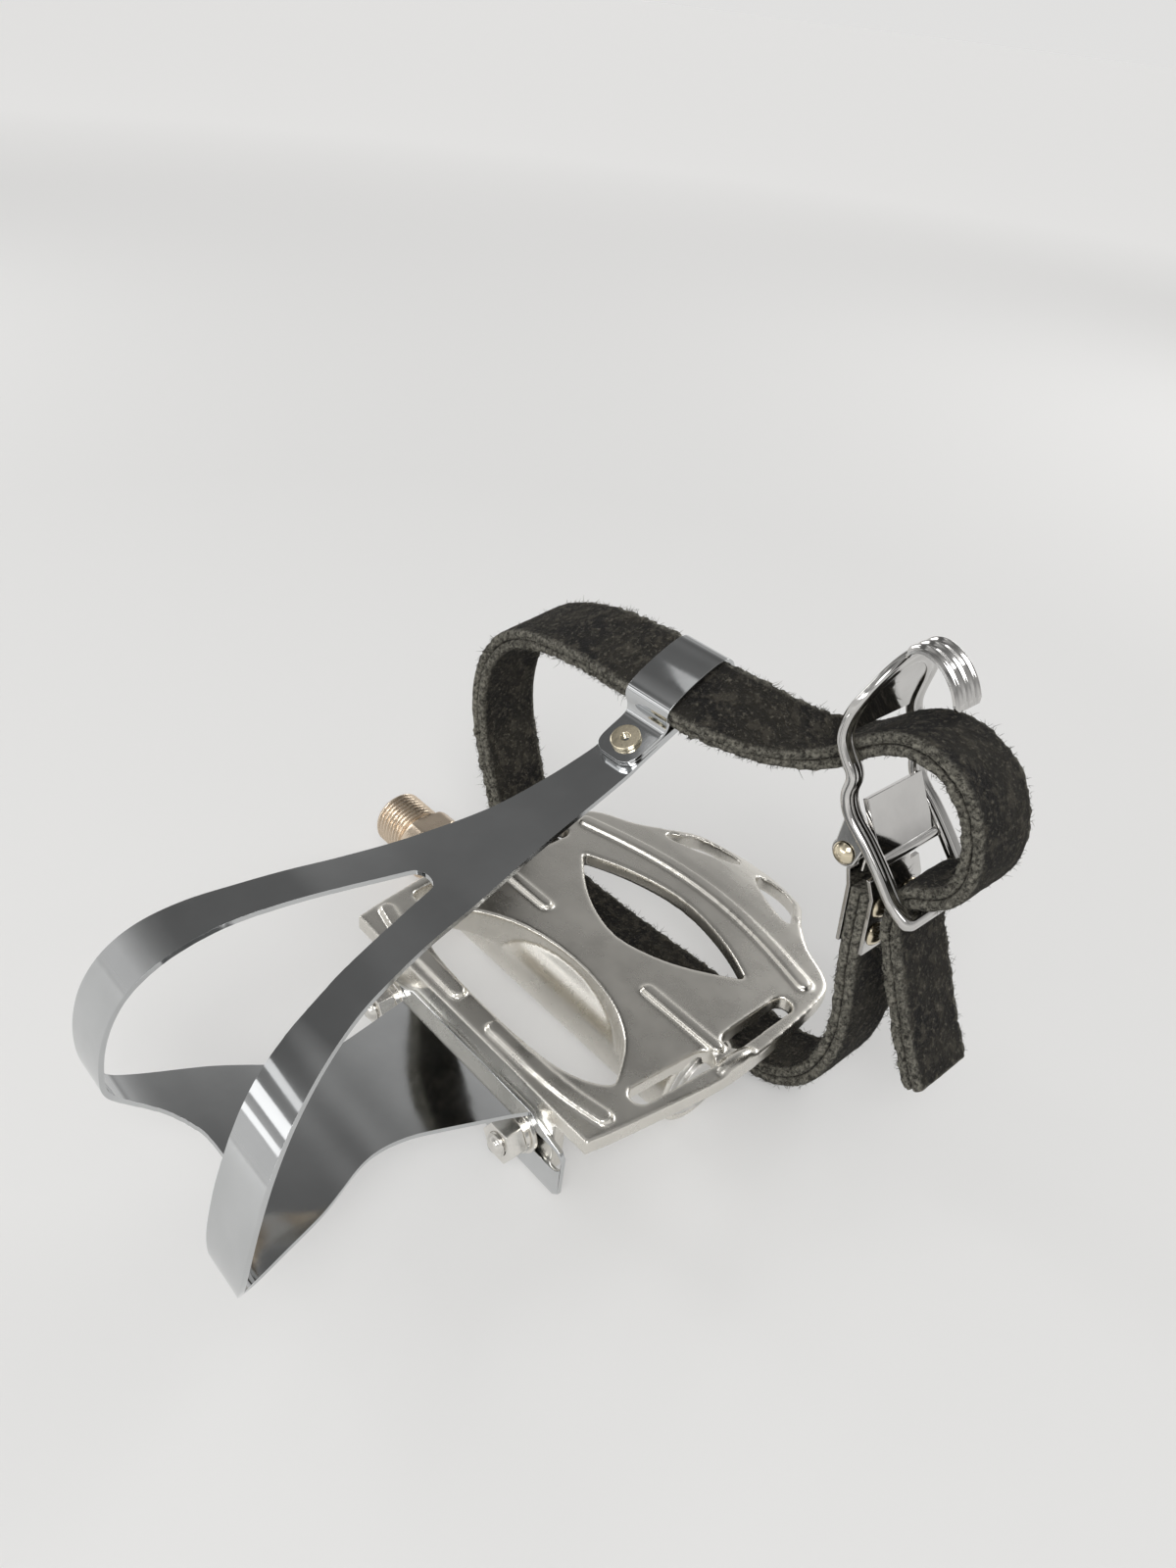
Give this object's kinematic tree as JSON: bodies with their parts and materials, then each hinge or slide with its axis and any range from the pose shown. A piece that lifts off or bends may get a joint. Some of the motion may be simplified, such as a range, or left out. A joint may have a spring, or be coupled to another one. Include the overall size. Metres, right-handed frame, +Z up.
{
  "type": "bicycle pedal",
  "caption": "Left platform pedal on a threaded spindle, with a folded steel toe clip, a riveted strap loop and a leather strap closed by a cam buckle.",
  "frame": {"origin": "on the spindle's axis, where its crank thread meets the shoulder", "axes": "+X along the spindle towards the crank, +Y towards the toe, +Z up from the platform"},
  "size_m": [0.15, 0.1601, 0.1116],
  "materials": {
    "cast_alloy": "cast, tumbled and half polished",
    "cap_alloy": "turned",
    "spindle_steel": "nickel plated, warm",
    "bearing_steel": "ground",
    "fastener_steel": "bright plated",
    "seal_rubber": "matte",
    "clip_chrome": "mirror chrome on sheet steel",
    "buckle_chrome": "bright nickel and chrome",
    "rivet_brass": "nickelled brass, domed",
    "strap_leather": "black suede, two layers, fuzzy cut edges"
  },
  "bodies": {
    "spindle": {"spindle": "spindle_steel", "adjusting_cone": "bearing_steel", "tab_washer": "fastener_steel", "lock_nut": "fastener_steel"},
    "pedal": {"pedal_body": "cast_alloy", "inner_cup": "bearing_steel", "outer_cup": "bearing_steel", "inner_seal": "seal_rubber", "dust_cap": "cap_alloy", "toe_clip": "clip_chrome", "clip_bolts": "fastener_steel", "clip_washers": "fastener_steel", "clip_spring_washers": "fastener_steel", "clip_nuts": "fastener_steel", "strap_loop": "clip_chrome", "loop_rivet": "rivet_brass", "toe_strap": "strap_leather", "buckle_frame": "buckle_chrome", "buckle_pin": "rivet_brass", "hinge_plate": "buckle_chrome", "plate_rivets": "rivet_brass", "lever_spring": "fastener_steel"},
    "inner_ball_ring": {"inner_balls": "bearing_steel"},
    "outer_ball_ring": {"outer_balls": "bearing_steel"},
    "lever": {"buckle_lever": "buckle_chrome"}
  },
  "joints": [
    {"name": "pedal_spin", "type": "hinge", "parent": "spindle", "child": "pedal", "pos_m": [0, 0, 0], "axis": [1, 0, 0], "continuous": true},
    {"name": "inner_ball_orbit", "type": "hinge", "parent": "spindle", "child": "inner_ball_ring", "pos_m": [0, 0, 0], "axis": [1, 0, 0], "continuous": true},
    {"name": "outer_ball_orbit", "type": "hinge", "parent": "spindle", "child": "outer_ball_ring", "pos_m": [0, 0, 0], "axis": [1, 0, 0], "continuous": true},
    {"name": "lever_press", "type": "hinge", "parent": "pedal", "child": "lever", "pos_m": [-0.1092, -0.0272, 0.06], "axis": [0, -1, 0], "range_deg": [0, 18], "stiffness_Nm_per_rad": 0.02, "springref_deg": -17.19}
  ],
  "couplings": [
    {"joint": "inner_ball_orbit", "follows": "pedal_spin", "ratio": 0.6},
    {"joint": "outer_ball_orbit", "follows": "pedal_spin", "ratio": 0.6}
  ]
}
